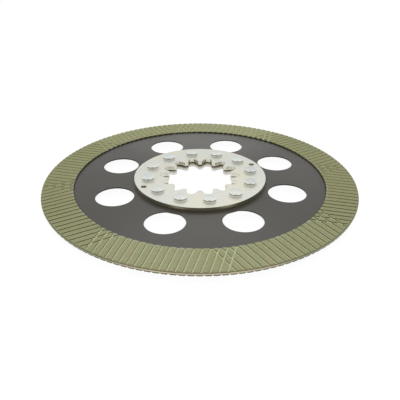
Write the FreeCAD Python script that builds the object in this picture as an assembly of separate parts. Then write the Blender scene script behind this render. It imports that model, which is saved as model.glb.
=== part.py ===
# Wet friction brake disc: a thin steel core with a grooved friction lining bonded to
# each face, and a splined hub of two plates riveted on either side of the core.
# Millimetres. +Z is the shaft's axis, and the origin is the disc's centre, halfway
# through the core. The hub plates are mirrored in the plane z = 0, and the lower lining
# is the upper one turned over about the X axis.

import FreeCAD, Part
import math
import os

# Core plate
DISC_DIAMETER = 350.0
CORE_THICKNESS = 1.5
CORE_BORE_SETBACK = 3.0  # the core stays this far outside the roots of the spline
WINDOW_COUNT = 8
WINDOW_DIAMETER = 41.3
WINDOW_CIRCLE_DIAMETER = 201.0
WINDOW_START_ANGLE = 25.3

# Friction linings
LINING_RIM_SETBACK = 0.5  # the core's bare rim outside the lining
LINING_WIDTH = 34.0
LINING_THICKNESS = 1.6
GROOVE_FLOOR_THICKNESS = 0.8  # lining left under the grooves
GROOVE_WIDTH = 1.8
GROOVE_PITCH = 7.15
GROOVES_PER_SECTOR = 19
SECTOR_START_ANGLE = 30.9
# The disc is divided into one sector for each gang of grooves, and each gang was cut
# a little to one side of its sector's middle radius
GROOVE_GANG_SHIFTS = (2.05, 2.85, -2.15, -1.6, -0.55, 1.05, 2.15, 2.85)

# Hub plates
HUB_DIAMETER = 149.0
HUB_PLATE_THICKNESS = 4.5
HUB_RIM_ROUND = 0.3
PIN_HOLE_COUNT = 2
PIN_HOLE_DIAMETER = 6.3
PIN_HOLE_CIRCLE_DIAMETER = 135.2
PIN_HOLE_START_ANGLE = 25.2

# Internal spline of the hub plates
SPLINE_TEETH = 14
SPLINE_MODULE = 6.0
SPLINE_PRESSURE_ANGLE = 30.0
SPLINE_TIP_DEPTH = 5.4  # from the pitch circle in to the tips of the teeth
SPLINE_ROOT_DEPTH = 3.5  # from the pitch circle out to the roots
SPLINE_ROOT_ROUND = 1.2
SPLINE_TIP_ROUND = 0.7
SPLINE_START_ANGLE = -90.0  # a tooth stands on this ray

# Rivets
RIVET_COUNT = 12
RIVET_CIRCLE_DIAMETER = 118.0
RIVET_START_ANGLE = 10.0
RIVET_SHANK_DIAMETER = 8.0
RIVET_HEAD_DIAMETER = 13.8
RIVET_HEAD_HEIGHT = 3.4
RIVET_HEAD_CHAMFER = 0.6
CLOSED_HEAD_DIAMETER = 13.2
CLOSED_HEAD_HEIGHT = 3.2
CLOSED_HEAD_CHAMFER = 1.0

# Radii and heights that follow from the sizes above
disc_radius = DISC_DIAMETER / 2
lining_outer_radius = disc_radius - LINING_RIM_SETBACK
lining_inner_radius = lining_outer_radius - LINING_WIDTH
pitch_radius = SPLINE_MODULE * SPLINE_TEETH / 2
base_radius = pitch_radius * math.cos(math.radians(SPLINE_PRESSURE_ANGLE))
spline_tip_radius = pitch_radius - SPLINE_TIP_DEPTH
spline_root_radius = pitch_radius + SPLINE_ROOT_DEPTH
core_bore_radius = spline_root_radius + CORE_BORE_SETBACK
core_top = CORE_THICKNESS / 2
hub_top = core_top + HUB_PLATE_THICKNESS
rivet_hole_radius = RIVET_SHANK_DIAMETER / 2  # the shank is upset until it fills its hole

CUT_MARGIN = 1.0  # how far a cutting solid runs past the face that it cuts


def polar(radius, angle, height=0.0):
    """Point at a radius and an angle in radians."""
    return FreeCAD.Vector(radius * math.cos(angle), radius * math.sin(angle), height)


def spread(count, start_angle):
    """Angles in radians of a number of places evenly spaced round the axis."""
    return [math.radians(start_angle + 360.0 * index / count) for index in range(count)]


def disc(radius, bottom, top):
    """Solid disc on the axis between two heights."""
    return Part.makeCylinder(radius, top - bottom, FreeCAD.Vector(0, 0, bottom))


def drills(radius, circle_radius, angles, bottom, top):
    """Cylinders on a circle, long enough to cut right through between two heights."""
    length = top - bottom + 2 * CUT_MARGIN
    start = bottom - CUT_MARGIN
    return [Part.makeCylinder(radius, length, polar(circle_radius, angle, start)) for angle in angles]


def turned_over(shape):
    """The same piece turned over about the X axis, onto the disc's other face."""
    copy = shape.copy()
    copy.rotate(FreeCAD.Vector(0, 0, 0), FreeCAD.Vector(1, 0, 0), 180)
    return copy


def reflected(shape):
    """The same piece mirrored in the core's middle plane."""
    return shape.mirror(FreeCAD.Vector(0, 0, 0), FreeCAD.Vector(0, 0, 1))


def rivet_holes(bottom, top):
    angles = spread(RIVET_COUNT, RIVET_START_ANGLE)
    return drills(rivet_hole_radius, RIVET_CIRCLE_DIAMETER / 2, angles, bottom, top)


def pin_holes(bottom, top):
    angles = spread(PIN_HOLE_COUNT, PIN_HOLE_START_ANGLE)
    return drills(PIN_HOLE_DIAMETER / 2, PIN_HOLE_CIRCLE_DIAMETER / 2, angles, bottom, top)


def core_plate():
    """Thin steel disc with a ring of round windows."""
    blank = disc(disc_radius, -core_top, core_top)
    window_angles = spread(WINDOW_COUNT, WINDOW_START_ANGLE)
    cutters = drills(WINDOW_DIAMETER / 2, WINDOW_CIRCLE_DIAMETER / 2, window_angles, -core_top, core_top)
    cutters += rivet_holes(-core_top, core_top)
    cutters += pin_holes(-core_top, core_top)
    cutters.append(disc(core_bore_radius, -core_top - CUT_MARGIN, core_top + CUT_MARGIN))
    return blank.cut(cutters)


def groove_cutter(angle, offset, bottom, top):
    """Bar that cuts one groove, parallel to a sector's middle radius."""
    near_end = lining_inner_radius / 2
    length = lining_outer_radius + CUT_MARGIN - near_end
    corner = FreeCAD.Vector(near_end, offset - GROOVE_WIDTH / 2, bottom)
    bar = Part.makeBox(length, GROOVE_WIDTH, top + CUT_MARGIN - bottom, corner)
    bar.rotate(FreeCAD.Vector(0, 0, 0), FreeCAD.Vector(0, 0, 1), math.degrees(angle))
    return bar


def lining():
    """Upper friction ring. Each sector's parallel grooves run on into the next sector's,
    so the two gangs cross along the border between them."""
    top = core_top + LINING_THICKNESS
    groove_floor = core_top + GROOVE_FLOOR_THICKNESS
    bore = disc(lining_inner_radius, core_top - CUT_MARGIN, top + CUT_MARGIN)
    ring = disc(lining_outer_radius, core_top, top).cut(bore)
    half_gang = GROOVE_PITCH * (GROOVES_PER_SECTOR - 1) / 2
    sector_angles = spread(len(GROOVE_GANG_SHIFTS), SECTOR_START_ANGLE)
    bars = []
    for angle, gang_shift in zip(sector_angles, GROOVE_GANG_SHIFTS):
        for index in range(GROOVES_PER_SECTOR):
            offset = gang_shift - half_gang + GROOVE_PITCH * index
            bars.append(groove_cutter(angle, offset, groove_floor, top))
    return ring.cut(bars)


def involute(radius):
    """Involute function of the pressure angle at a radius. Below the base circle a flank
    runs straight towards the axis."""
    angle = math.acos(min(1.0, base_radius / radius))
    return math.tan(angle) - angle


def half_space_angle(radius):
    """Half of the angle that the space between two teeth takes up at a radius."""
    at_pitch = math.pi / (2 * SPLINE_TEETH)
    return at_pitch + involute(pitch_radius) - involute(radius)


def flank(centre_angle, side):
    """Flank of one tooth space: the arc through its involute's two ends and middle."""
    middle_radius = (spline_tip_radius + spline_root_radius) / 2
    radii = (spline_tip_radius, middle_radius, spline_root_radius)
    points = [polar(radius, centre_angle + side * half_space_angle(radius)) for radius in radii]
    return Part.Arc(*points).toShape()


def arc(radius, start_angle, end_angle):
    middle = polar(radius, (start_angle + end_angle) / 2)
    return Part.Arc(polar(radius, start_angle), middle, polar(radius, end_angle)).toShape()


def upright_edges(solid, radius):
    """Edges of a prism that stand parallel to the axis at a radius."""
    found = []
    for edge in solid.Edges:
        start, end = (vertex.Point for vertex in edge.Vertexes[:1] + edge.Vertexes[-1:])
        upright = math.hypot(start.x - end.x, start.y - end.y) < 1e-6
        if upright and abs(math.hypot(start.x, start.y) - radius) < 1e-4:
            found.append(edge)
    return found


def spline_opening(bottom, top):
    """Solid that fills the splined bore: the outline that the teeth leave free."""
    pitch_angle = 2 * math.pi / SPLINE_TEETH
    tip_half_angle = half_space_angle(spline_tip_radius)
    root_half_angle = half_space_angle(spline_root_radius)
    edges = []
    for tooth_angle in spread(SPLINE_TEETH, SPLINE_START_ANGLE):
        middle = tooth_angle + pitch_angle / 2
        edges.append(flank(middle, -1))
        edges.append(arc(spline_root_radius, middle - root_half_angle, middle + root_half_angle))
        edges.append(flank(middle, 1))
        edges.append(arc(spline_tip_radius, middle + tip_half_angle, middle + pitch_angle - tip_half_angle))
    outline = Part.Wire(Part.__sortEdges__(edges))
    prism = Part.Face(outline).extrude(FreeCAD.Vector(0, 0, top - bottom))
    prism.translate(FreeCAD.Vector(0, 0, bottom))
    root_land = 2 * root_half_angle * spline_root_radius
    tip_land = (pitch_angle - 2 * tip_half_angle) * spline_tip_radius
    root_round = min(SPLINE_ROOT_ROUND, 0.4 * root_land)
    tip_round = min(SPLINE_TIP_ROUND, 0.4 * tip_land)
    prism = prism.makeFillet(root_round, upright_edges(prism, spline_root_radius))
    return prism.makeFillet(tip_round, upright_edges(prism, spline_tip_radius))


def hub_plate():
    """Upper hub plate: a thick ring with the internal spline, rolled over at its rim."""
    blank = disc(HUB_DIAMETER / 2, core_top, hub_top)
    rim = [edge for edge in blank.Edges if edge.BoundBox.ZMin > hub_top - 1e-3]
    blank = blank.makeFillet(HUB_RIM_ROUND, rim)
    cutters = rivet_holes(core_top, hub_top)
    cutters += pin_holes(core_top, hub_top)
    cutters.append(spline_opening(core_top - CUT_MARGIN, hub_top + CUT_MARGIN))
    return blank.cut(cutters)


def rivet(angle):
    """Solid rivet with its bought head on top and its closed head below."""
    shank = RIVET_SHANK_DIAMETER / 2
    head = RIVET_HEAD_DIAMETER / 2
    closed = CLOSED_HEAD_DIAMETER / 2
    top = hub_top + RIVET_HEAD_HEIGHT
    bottom = -hub_top - CLOSED_HEAD_HEIGHT
    outline = [
        (0, top),
        (head - RIVET_HEAD_CHAMFER, top),
        (head, top - RIVET_HEAD_CHAMFER),
        (head, hub_top),
        (shank, hub_top),
        (shank, -hub_top),
        (closed, -hub_top),
        (closed, bottom + CLOSED_HEAD_CHAMFER),
        (closed - CLOSED_HEAD_CHAMFER, bottom),
        (0, bottom),
    ]
    points = [FreeCAD.Vector(x, 0, z) for x, z in outline]
    section = Part.Face(Part.makePolygon(points + points[:1]))
    solid = section.revolve(FreeCAD.Vector(0, 0, 0), FreeCAD.Vector(0, 0, 1), 360)
    solid.translate(polar(RIVET_CIRCLE_DIAMETER / 2, angle))
    return solid


def build():
    """Every piece of the disc, by name."""
    pieces = {"core_plate": core_plate()}
    pieces["lining_top"] = lining()
    pieces["lining_bottom"] = turned_over(pieces["lining_top"])
    pieces["hub_plate_top"] = hub_plate()
    pieces["hub_plate_bottom"] = reflected(pieces["hub_plate_top"])
    for number, angle in enumerate(spread(RIVET_COUNT, RIVET_START_ANGLE), start=1):
        pieces[f"rivet_{number:02d}"] = rivet(angle)
    return pieces


os.makedirs("parts", exist_ok=True)
for name, shape in build().items():
    shape.exportStep(os.path.join("parts", name + ".step"))
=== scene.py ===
"""Brake disc: a thin windowed core with grooved friction linings and a riveted, splined hub.

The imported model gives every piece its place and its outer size. This script dresses it:
each piece is rebuilt by Geometry Nodes as a finer mesh with rolled edges, and gets a
procedural material. Everything is in metres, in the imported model's own frame. The camera
looks along Y, so a low Y is the disc's front and a high Y its back.
"""

from __future__ import annotations

import logging
import math
from collections import Counter
from dataclasses import dataclass
from enum import Enum
from functools import cached_property
from typing import Any, Iterable, Sequence

import bmesh
import bpy
from bpy.types import Material, Mesh, Node, NodeSocket, NodeTree, Object
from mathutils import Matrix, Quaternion, Vector

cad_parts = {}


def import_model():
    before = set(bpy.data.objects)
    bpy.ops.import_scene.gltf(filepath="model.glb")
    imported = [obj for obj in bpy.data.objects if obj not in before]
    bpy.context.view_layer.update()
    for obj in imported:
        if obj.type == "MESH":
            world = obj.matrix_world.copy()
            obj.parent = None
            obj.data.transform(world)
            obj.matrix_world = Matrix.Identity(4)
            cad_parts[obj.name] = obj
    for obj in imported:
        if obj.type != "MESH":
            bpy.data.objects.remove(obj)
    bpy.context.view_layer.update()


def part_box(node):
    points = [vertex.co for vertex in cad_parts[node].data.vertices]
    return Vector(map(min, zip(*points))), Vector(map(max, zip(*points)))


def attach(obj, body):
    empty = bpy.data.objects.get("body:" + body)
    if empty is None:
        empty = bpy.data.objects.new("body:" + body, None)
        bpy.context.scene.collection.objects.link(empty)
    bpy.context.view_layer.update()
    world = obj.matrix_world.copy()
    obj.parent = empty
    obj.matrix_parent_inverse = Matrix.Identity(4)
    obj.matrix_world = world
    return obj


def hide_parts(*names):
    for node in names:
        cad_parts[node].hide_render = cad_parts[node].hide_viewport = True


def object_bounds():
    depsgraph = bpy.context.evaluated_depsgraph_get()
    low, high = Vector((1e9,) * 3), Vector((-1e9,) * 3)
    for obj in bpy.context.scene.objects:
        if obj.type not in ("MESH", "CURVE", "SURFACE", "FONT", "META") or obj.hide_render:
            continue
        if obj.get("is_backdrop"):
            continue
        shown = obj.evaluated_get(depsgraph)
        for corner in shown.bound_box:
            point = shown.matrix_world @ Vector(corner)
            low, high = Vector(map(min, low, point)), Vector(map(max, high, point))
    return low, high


MM = 0.001
WELD = 1e-6
BODY = "root"
IMAGE_PIXELS = 400
GEOMETRY = "GeometryNodeTree"
SHADER = "ShaderNodeTree"
SOCKET_KINDS = {float: "Float", int: "Int"}
RESULT_KINDS = {GEOMETRY: "Geometry", SHADER: "Float"}

Colour = tuple[float, ...]
# Where a change starts and ends and, unless it goes from 0 to 1, what it goes from and to
Band = tuple[float, ...]

log = logging.getLogger("brake_disc")


def linear(value: float) -> float:
    """Undo the sRGB curve on one channel, from 0 to 255."""
    share = value / 255.0
    return share / 12.92 if share <= 0.04045 else ((share + 0.055) / 1.055) ** 2.4


def srgb(red: float, green: float, blue: float) -> Colour:
    """Linear values, with an alpha of 1, of a colour written in sRGB from 0 to 255."""
    return (linear(red), linear(green), linear(blue), 1.0)


def grey(value: float) -> Colour:
    """Linear grey with an alpha of 1."""
    return (value, value, value, 1.0)


def add_object(name: str, data: bpy.types.ID) -> Object:
    """Put an object in the scene."""
    added = bpy.data.objects.new(name, data)
    bpy.context.scene.collection.objects.link(added)
    return added


# Node trees


class Nodes:
    """Writes a node tree: each call adds one node, sets it up and joins its inputs."""

    def __init__(self, tree: NodeTree) -> None:
        """Keep the tree that the nodes go into."""
        self.tree = tree

    def node(self, kind: str, inputs: dict[Any, Any] | None = None, **settings: Any) -> Node:
        """Add one node.

        Args:
            kind: Blender's name for the node's type.
            inputs: What goes into its sockets, by name or number: a socket, a node whose
                first output is meant, or a plain value.
            settings: The node's own properties.

        Returns:
            The new node.
        """
        node = self.tree.nodes.new(kind)
        for name, value in settings.items():
            setattr(node, name, value)
        for name, value in (inputs or {}).items():
            self.join(node.inputs[name], value)
        return node

    def join(self, socket: NodeSocket, value: Any) -> None:
        """Feed a socket from another socket, a node, several of them or a plain value.

        Args:
            socket: The input socket.
            value: What feeds it.
        """
        if isinstance(value, list):
            for item in reversed(value):
                self.join(socket, item)
        elif isinstance(value, Node):
            self.tree.links.new(next(output for output in value.outputs if output.enabled), socket)
        elif isinstance(value, NodeSocket):
            self.tree.links.new(value, socket)
        else:
            socket.default_value = value

    def math(self, operation: str, first: Any, second: Any = None) -> Node:
        """Add a math node.

        Args:
            operation: Blender's name for the sum.
            first: Its first value.
            second: Its second value, where it has one.

        Returns:
            The math node.
        """
        inputs = {0: first} if second is None else {0: first, 1: second}
        return self.node("ShaderNodeMath", inputs, operation=operation)

    def times(self, *factors: Any) -> Any:
        """Multiply values.

        Args:
            factors: The values, in the order in which they are multiplied.

        Returns:
            The last math node, or the value itself where there is only one.
        """
        product = factors[0]
        for factor in factors[1:]:
            product = self.math("MULTIPLY", product, factor)
        return product

    def vector_math(self, operation: str, first: Any, second: Any) -> Node:
        """Add a vector math node for two vectors."""
        return self.node("ShaderNodeVectorMath", {0: first, 1: second}, operation=operation)

    def vector(self, **parts: Any) -> Node:
        """Make a vector from its X, Y and Z, of which those not given are 0."""
        return self.node("ShaderNodeCombineXYZ", parts)

    def spin(self, vector: Any, angle: Any) -> Node:
        """Turn a vector about the Z axis."""
        inputs = {"Vector": vector, "Angle": angle}
        return self.node("ShaderNodeVectorRotate", inputs, rotation_type="Z_AXIS")

    def split(self, vector: Any) -> Sequence[NodeSocket]:
        """Take a vector apart: its X, Y and Z."""
        return list(self.node("ShaderNodeSeparateXYZ", {"Vector": vector}).outputs)

    def noise(self, place: Any, scale: Any, detail: Any) -> Node:
        """Add a noise texture."""
        return self.node("ShaderNodeTexNoise", {"Vector": place, "Scale": scale, "Detail": detail})

    def ramp(self, value: Any, low: Any, high: Any, to_low: float = 0.0, to_high: float = 1.0) -> Node:
        """Stretch a range of values smoothly onto another.

        Args:
            value: The value that is read.
            low: Where the range starts.
            high: Where the range ends.
            to_low: What the start becomes.
            to_high: What the end becomes.

        Returns:
            The node whose result is the new value.
        """
        inputs = {"Value": value, "From Min": low, "From Max": high, "To Min": to_low, "To Max": to_high}
        return self.node("ShaderNodeMapRange", inputs, interpolation_type="SMOOTHSTEP")

    def blend(self, share: Any, first: Any, second: Any) -> NodeSocket:
        """Mix two colours.

        Args:
            share: How much of the second colour shows, from 0 to 1.
            first: The first colour.
            second: The second colour.

        Returns:
            The socket with the mixed colour.
        """
        factor_socket, first_socket, second_socket, result_socket = 0, 6, 7, 2
        inputs = {factor_socket: share, first_socket: first, second_socket: second}
        return self.node("ShaderNodeMix", inputs, data_type="RGBA").outputs[result_socket]


class Group(Nodes):
    """Writes a node group with named inputs and outputs."""

    def __init__(self, name: str, kind: str, sockets: dict[str, Any], *results: str) -> None:
        """Make the group and its sockets.

        Args:
            name: The group's name.
            kind: GEOMETRY, whose outputs are geometry, or SHADER, whose outputs are numbers.
            sockets: Each input's default number, or its type where it has no default.
            results: The outputs' names.
        """
        super().__init__(bpy.data.node_groups.new(name, kind))
        new_socket = self.tree.interface.new_socket
        for label, default in sockets.items():
            form = default if isinstance(default, str) else SOCKET_KINDS[type(default)]
            socket = new_socket(name=label, in_out="INPUT", socket_type="NodeSocket" + form)
            if not isinstance(default, str):
                socket.default_value = default
        for label in results:
            new_socket(name=label, in_out="OUTPUT", socket_type="NodeSocket" + RESULT_KINDS[kind])
        inlet = self.node("NodeGroupInput")
        self.given = {label: inlet.outputs[label] for label in sockets}
        self.outlet = self.node("NodeGroupOutput")

    def close(self, **results: Any) -> NodeTree:
        """Feed the outputs by their names, and give the finished group."""
        for label, value in results.items():
            self.join(self.outlet.inputs[label], value)
        return self.tree


# Finishes


class Effects:
    """Surface effects that several materials share, each built at its first use."""

    @cached_property
    def cloud(self) -> NodeTree:
        """Soft cloudy mask: 0 and 1 in large patches with a smooth change between them."""
        sockets = {"Place": "Vector", "Size": 0.02, "Detail": 2.0, "Low": 0.4, "High": 0.6}
        group = Group("cloud", SHADER, sockets, "Mask")
        given = group.given
        noise = group.noise(given["Place"], group.math("DIVIDE", 1.0, given["Size"]), given["Detail"])
        return group.close(Mask=group.ramp(noise, given["Low"], given["High"]))

    @cached_property
    def fibres(self) -> NodeTree:
        """Short matted fibres: a height and a mask, from two stretched noises laid crosswise."""
        group = Group("fibres", SHADER, {"Place": "Vector", "Size": 0.001, "Stretch": 5.0}, "Height", "Mask")
        scale = group.math("DIVIDE", 1.0, group.given["Size"])
        layers = []
        for turn in (math.radians(35), math.radians(125)):
            length = group.math("DIVIDE", scale, group.given["Stretch"])
            stretch = group.vector(X=length, Y=scale, Z=scale)
            place = group.vector_math("MULTIPLY", group.spin(group.given["Place"], turn), stretch)
            layers.append(group.noise(place, scale=1.0, detail=3.0))
        height = group.math("MAXIMUM", *layers)
        return group.close(Height=height, Mask=group.ramp(height, low=0.5, high=0.72))

    @cached_property
    def scuffs(self) -> NodeTree:
        """Fine straight scratches in one direction, thinned out by a cloud."""
        sockets = {"Place": "Vector", "Spacing": 0.004, "Length": 0.06, "Turn": 0.0, "Amount": 0.5}
        group = Group("scuffs", SHADER, sockets, "Mask")
        given = group.given
        along = group.math("DIVIDE", 1.0, given["Length"])
        across = group.math("DIVIDE", 1.0, given["Spacing"])
        stretch = group.vector(X=along, Y=across, Z=across)
        place = group.vector_math("MULTIPLY", group.spin(given["Place"], given["Turn"]), stretch)
        middle, line_width = 0.5, 0.012
        streaks = group.noise(place, scale=1.0, detail=1.0)
        ridge = group.math("ABSOLUTE", group.math("SUBTRACT", streaks, middle))
        line = group.ramp(ridge, 0.0, line_width, 1.0, 0.0)
        patchy = group.ramp(group.noise(given["Place"], scale=18.0, detail=2.0), low=0.5, high=0.62)
        return group.close(Mask=group.times(line, patchy, given["Amount"]))

    @cached_property
    def specks(self) -> NodeTree:
        """Small round specks, far apart and of different sizes."""
        group = Group("specks", SHADER, {"Place": "Vector", "Spacing": 0.01, "Size": 0.1}, "Mask")
        given = group.given
        scale = group.math("DIVIDE", 1.0, given["Spacing"])
        cells = group.node("ShaderNodeTexVoronoi", {"Vector": given["Place"], "Scale": scale})
        chance = group.node("ShaderNodeSeparateColor", {"Color": cells.outputs["Color"]})
        reach = group.times(given["Size"], group.ramp(chance, low=0.35, high=1.0))
        near = group.math("SUBTRACT", reach, cells.outputs["Distance"])
        soft_edge = 0.03
        return group.close(Mask=group.ramp(near, 0.0, soft_edge))


EFFECTS = Effects()


class MaterialWriter(Nodes):
    """Writes one material's nodes around a Principled BSDF, and paints its colour in layers."""

    def __init__(self, name: str, colour: Colour) -> None:
        """Make the material, its shader and its Object coordinates.

        Args:
            name: The material's name.
            colour: The colour that lies under all others.
        """
        self.material = bpy.data.materials.new(name)
        self.material.use_nodes = True
        super().__init__(self.material.node_tree)
        self.shader = self.tree.nodes["Principled BSDF"]
        self.colour: Any = colour
        self.place = self.node("ShaderNodeTexCoord").outputs["Object"]
        self.across, self.depth, self.rise = self.split(self.place)
        flat = self.vector_math("MULTIPLY", self.place, (1.0, 1.0, 0.0))
        self.radius = self.node("ShaderNodeVectorMath", {0: flat}, operation="LENGTH").outputs["Value"]

    def effect(self, group: NodeTree, **values: Any) -> Node:
        """Place a shared effect, with its own values.

        Args:
            group: The effect.
            values: Its inputs. The place is the object's own, unless it is given.

        Returns:
            The group node.
        """
        return self.node("ShaderNodeGroup", {"Place": self.place, **values}, node_tree=group)

    def sideways(self) -> Node:
        """How far to the side a place lies: 0 at the front and back, 1 at the left and right."""
        return self.math("DIVIDE", self.math("ABSOLUTE", self.across), self.radius)

    def band(self, value: Any, band: Band, start: float = 0.0) -> Node:
        """Change smoothly from one value to another.

        Args:
            value: The value that is read.
            band: Where the change starts and ends, and what it goes from and to.
            start: What the band's first two values are counted from.

        Returns:
            The node whose result is the new value.
        """
        return self.ramp(value, start + band[0], start + band[1], *band[2:])

    def paint(self, colour: Any, mask: Any, share: float = 1.0) -> None:
        """Lay a colour over those painted so far.

        Args:
            colour: The colour.
            mask: Where it shows, from 0 to 1.
            share: How much of it shows there.
        """
        strength = mask if share == 1.0 else self.times(mask, share)
        self.colour = self.blend(strength, self.colour, colour)

    def finish(self, **values: Any) -> Material:
        """Give the shader the painted colour and the values of its other sockets.

        Args:
            values: What goes into the sockets, with underscores for spaces in their names.

        Returns:
            The finished material.
        """
        for label, value in {"Base_Color": self.colour, **values}.items():
            self.join(self.shader.inputs[label.replace("_", " ")], value)
        return self.material

    def relief(self, *layers: tuple[Any, float]) -> Node:
        """Give a surface that rises and sinks.

        Args:
            layers: Each layer's height from 0 to 1 and its depth in metres.

        Returns:
            The node with the surface's normal.
        """
        bump: Any = None
        for height, depth in layers:
            inputs = {"Height": height, "Distance": depth, "Strength": 1.0}
            bump = self.node("ShaderNodeBump", inputs if bump is None else {**inputs, "Normal": bump})
        return bump


@dataclass(frozen=True)
class CoreSteel:
    """Dark smooth steel of the core plate, bare on its rim, with painted sheen toward the back, painted
    shade at the sides, a painted shadow in front of the hub, a painted highlight on the rim's front and
    painted light on the bore's wall.
    """

    roughness: float = 0.34
    roughness_drift: float = 0.04
    specular: float = 0.24
    colour: Colour = srgb(75, 73, 68)
    paler: Colour = srgb(79, 77, 73)
    # Painted sheen: the steel paler toward the back.
    far: Colour = srgb(84, 83, 79)
    far_band: Band = (30 * MM, 110 * MM)
    # Painted shade at the left and right.
    side_shade: Colour = srgb(40, 38, 33)
    side_shade_band: Band = (0.2, 0.9, 0.0, 0.53)
    # Painted shadow of the hub on the steel in front of it.
    hub_shadow: Colour = srgb(38, 34, 27)
    contact_shadow_band: Band = (74.5 * MM, 82.5 * MM, 0.8, 0.0)
    contact_shadow_depth_band: Band = (-75 * MM, -25 * MM, 1.0, 0.15)
    scratch: Colour = srgb(118, 112, 100)
    # The bare steel rim, with a painted highlight at the front.
    bare_rim_highlight: Colour = srgb(197, 187, 161)
    bare_rim: Colour = srgb(152, 150, 128)
    rim_highlight_band: Band = (-173 * MM, -150 * MM, 1.0, 0.0)
    rim_band: Band = (174.85 * MM, 174.95 * MM)
    # Painted light on the bore's wall, in the gap between the hub plates.
    bore_shading: Colour = srgb(226, 210, 178)
    bore_band: Band = (48.8 * MM, 49.5 * MM, 1.0, 0.0)

    def build(self) -> Material:
        """Write the material.

        Returns:
            The finished material.
        """
        m = MaterialWriter("core_steel_finish", self.colour)
        clouds = m.effect(EFFECTS.cloud, Size=0.05, Detail=3.0, Low=0.35, High=0.65)
        grain = m.effect(EFFECTS.cloud, Size=0.0006, Detail=2.0, Low=0.3, High=0.7)
        scuffs = m.effect(EFFECTS.scuffs, Spacing=0.0035, Length=0.09, Turn=0.35, Amount=0.12)
        m.paint(self.paler, clouds)
        # Painted sheen toward the back.
        m.paint(self.far, m.band(m.depth, self.far_band))
        # Painted shade at the sides.
        m.paint(self.side_shade, m.band(m.sideways(), self.side_shade_band))
        m.paint(self.scratch, grain, share=0.06)
        m.paint(self.scratch, scuffs)
        # Painted shadow in front of the hub's foot.
        m.paint(self.hub_shadow, m.times(m.band(m.radius, self.contact_shadow_band), m.band(m.depth, self.contact_shadow_depth_band)))
        # The bare steel rim, with a painted highlight at its front.
        rim = m.band(m.radius, self.rim_band)
        m.paint(m.blend(m.band(m.depth, self.rim_highlight_band), self.bare_rim, self.bare_rim_highlight), rim)
        # Painted light on the bore's wall.
        m.paint(self.bore_shading, m.band(m.radius, self.bore_band))
        rough = m.ramp(clouds, 0.0, 1.0, self.roughness - self.roughness_drift,
                       self.roughness + self.roughness_drift)
        return m.finish(Metallic=rim, Roughness=rough, Specular_IOR_Level=self.specular,
                        Normal=m.relief((grain, 0.002 * MM), (scuffs, 0.004 * MM)))


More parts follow.
